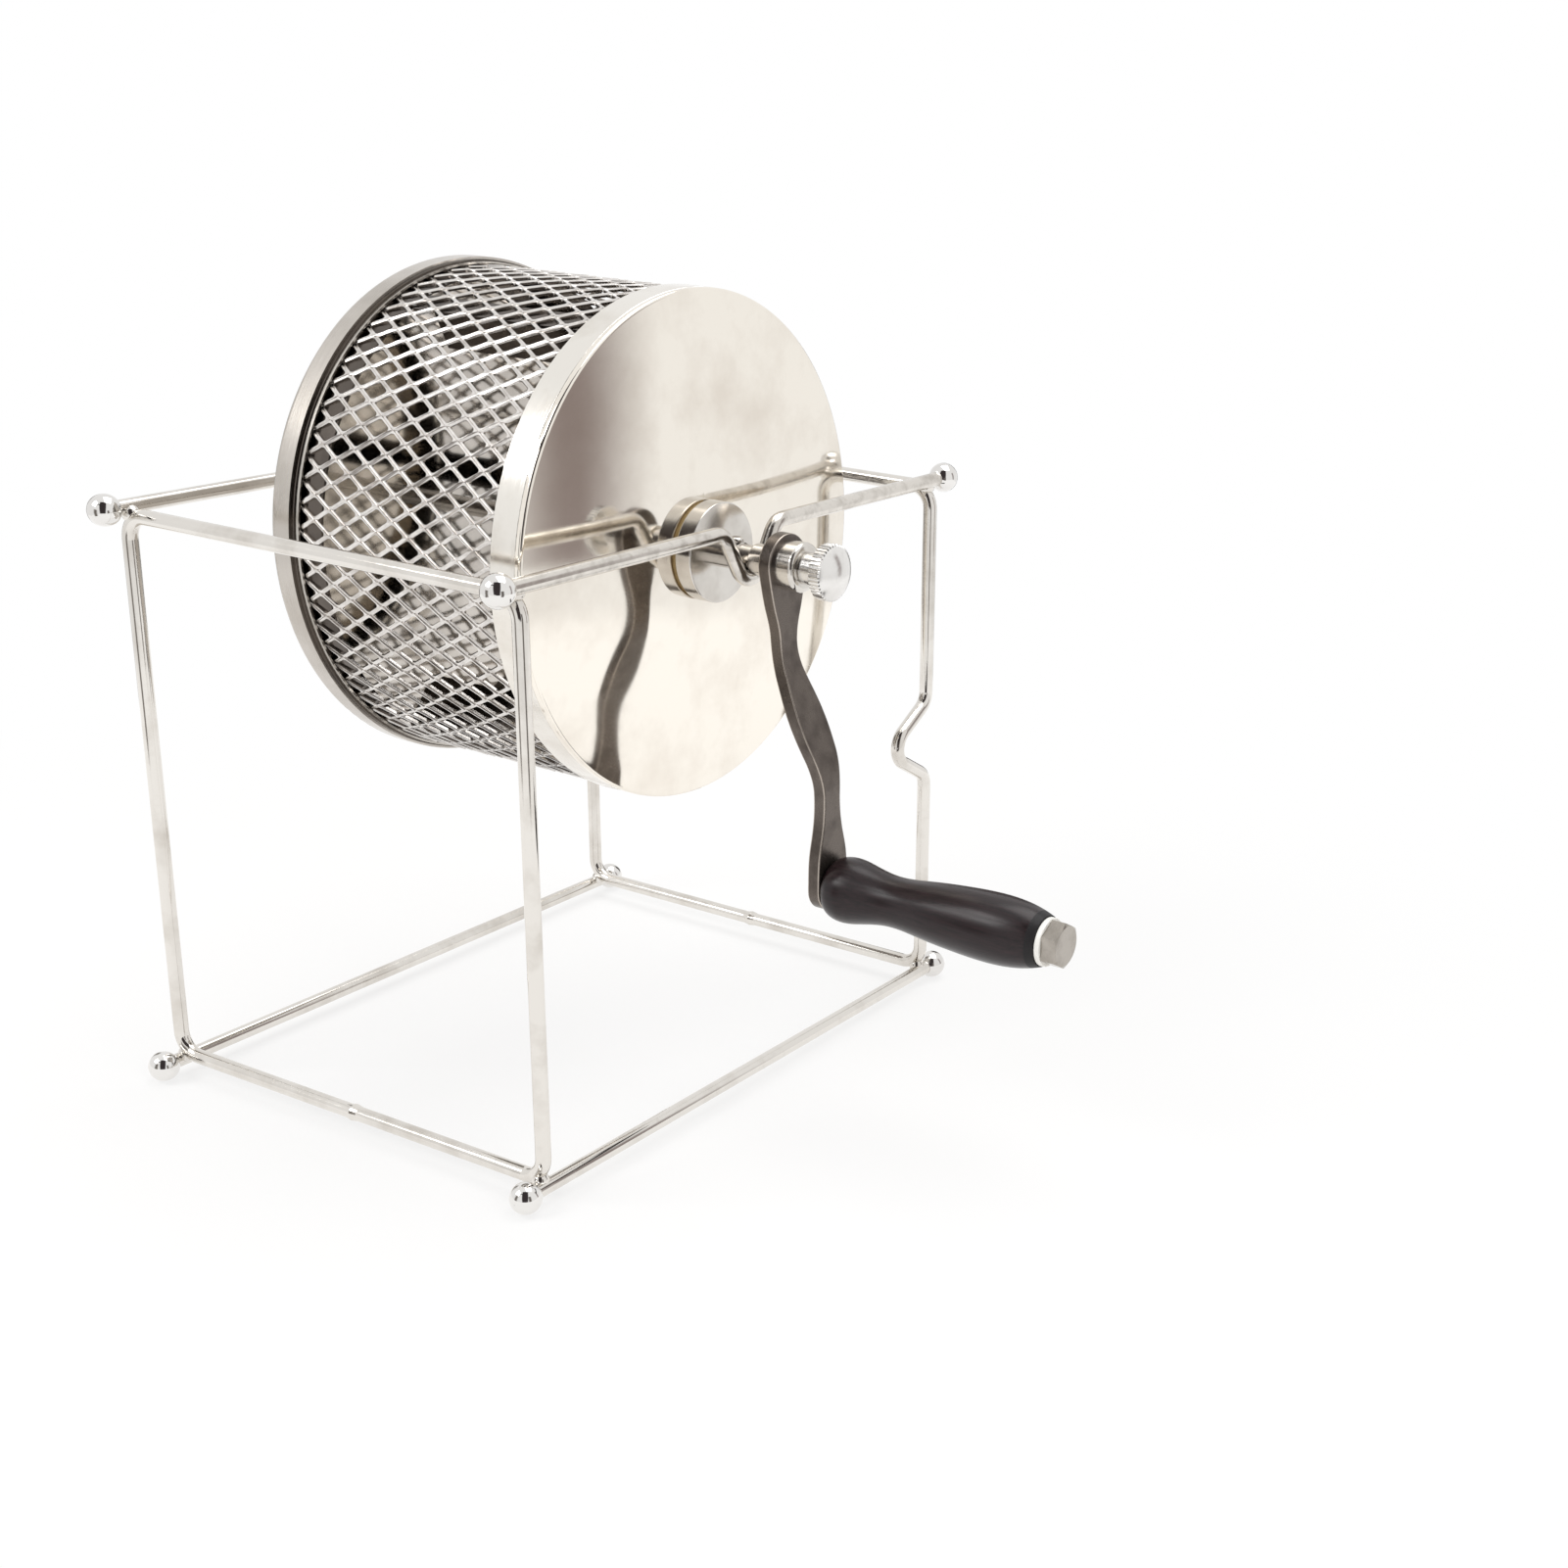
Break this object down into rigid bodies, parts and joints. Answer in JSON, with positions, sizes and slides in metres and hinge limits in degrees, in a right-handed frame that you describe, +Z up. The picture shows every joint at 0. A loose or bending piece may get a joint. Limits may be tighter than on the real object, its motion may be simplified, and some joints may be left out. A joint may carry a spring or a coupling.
{
  "type": "stovetop coffee bean roaster",
  "caption": "Hand-cranked coffee bean roaster: a steel mesh drum on a shaft that rests in a bent wire stand, turned by a crank with a wooden grip",
  "frame": {"origin": "On the surface that the object stands on, in the middle of the stand's four foot balls, straight under the drum's shaft.", "axes": "+X along the drum's shaft towards the crank, +Y across the stand, +Z up."},
  "size_m": [0.2861, 0.2294, 0.2604],
  "materials": {
    "stand_wire": "bright drawn stainless steel wire",
    "polished_balls": "polished steel balls",
    "turned_steel": "turned stainless steel with fine tool rings",
    "chromed_nut": "chromed, knurled",
    "mirror_sheet": "mirror polished stainless sheet",
    "satin_sheet": "satin brushed stainless sheet",
    "dark_sheet": "dark heat-stained steel sheet",
    "drum_mesh": "bright expanded steel mesh",
    "crank_casting": "dark grey satin casting",
    "grip_wood": "dark lacquered turned wood",
    "white_washer": "white plastic",
    "grip_bolt": "zinc-plated hexagon head bolt"
  },
  "bodies": {
    "stand": {"near_side_hoop": "stand_wire", "far_side_hoop": "stand_wire", "crank_top_rod": "stand_wire", "far_top_rod": "stand_wire", "crank_base_rod": "stand_wire", "far_base_rod": "stand_wire", "hoop_welds": "stand_wire", "top_balls": "polished_balls", "foot_balls": "polished_balls"},
    "drum": {"shaft": "turned_steel", "crank_side_bush": "turned_steel", "far_side_bush": "turned_steel", "far_bush_screw": "turned_steel", "hub_disc": "turned_steel", "hub_spacer": "turned_steel", "hub_lock_ring": "turned_steel", "hub_set_screw": "turned_steel", "polished_lid": "mirror_sheet", "crank_end_band": "satin_sheet", "far_end_ring": "satin_sheet", "far_end_sleeve": "dark_sheet", "drum_mesh": "drum_mesh", "agitator_vane_a": "dark_sheet", "agitator_vane_b": "dark_sheet", "agitator_vane_c": "dark_sheet", "crank_arm": "crank_casting", "barrel_collar": "turned_steel", "grip_washer": "white_washer", "grip_bolt": "grip_bolt"},
    "cap": {"far_cap": "satin_sheet", "far_cap_boss": "turned_steel"},
    "nut": {"thumb_nut": "chromed_nut"},
    "handle": {"grip": "grip_wood"}
  },
  "joints": [
    {"name": "drum_spin", "type": "hinge", "parent": "stand", "child": "drum", "pos_m": [0, 0, 0.1794], "axis": [1, 0, 0], "continuous": true},
    {"name": "cap_slide", "type": "slide", "parent": "drum", "child": "cap", "axis": [-1, 0, 0], "range_m": [0, 0.028]},
    {"name": "nut_turn", "type": "hinge", "parent": "drum", "child": "nut", "pos_m": [0.1, 0, 0.1794], "axis": [1, 0, 0], "continuous": true},
    {"name": "grip_spin", "type": "hinge", "parent": "drum", "child": "handle", "pos_m": [0.149, 0.00233, 0.07683], "axis": [1, 0, 0], "continuous": true}
  ]
}
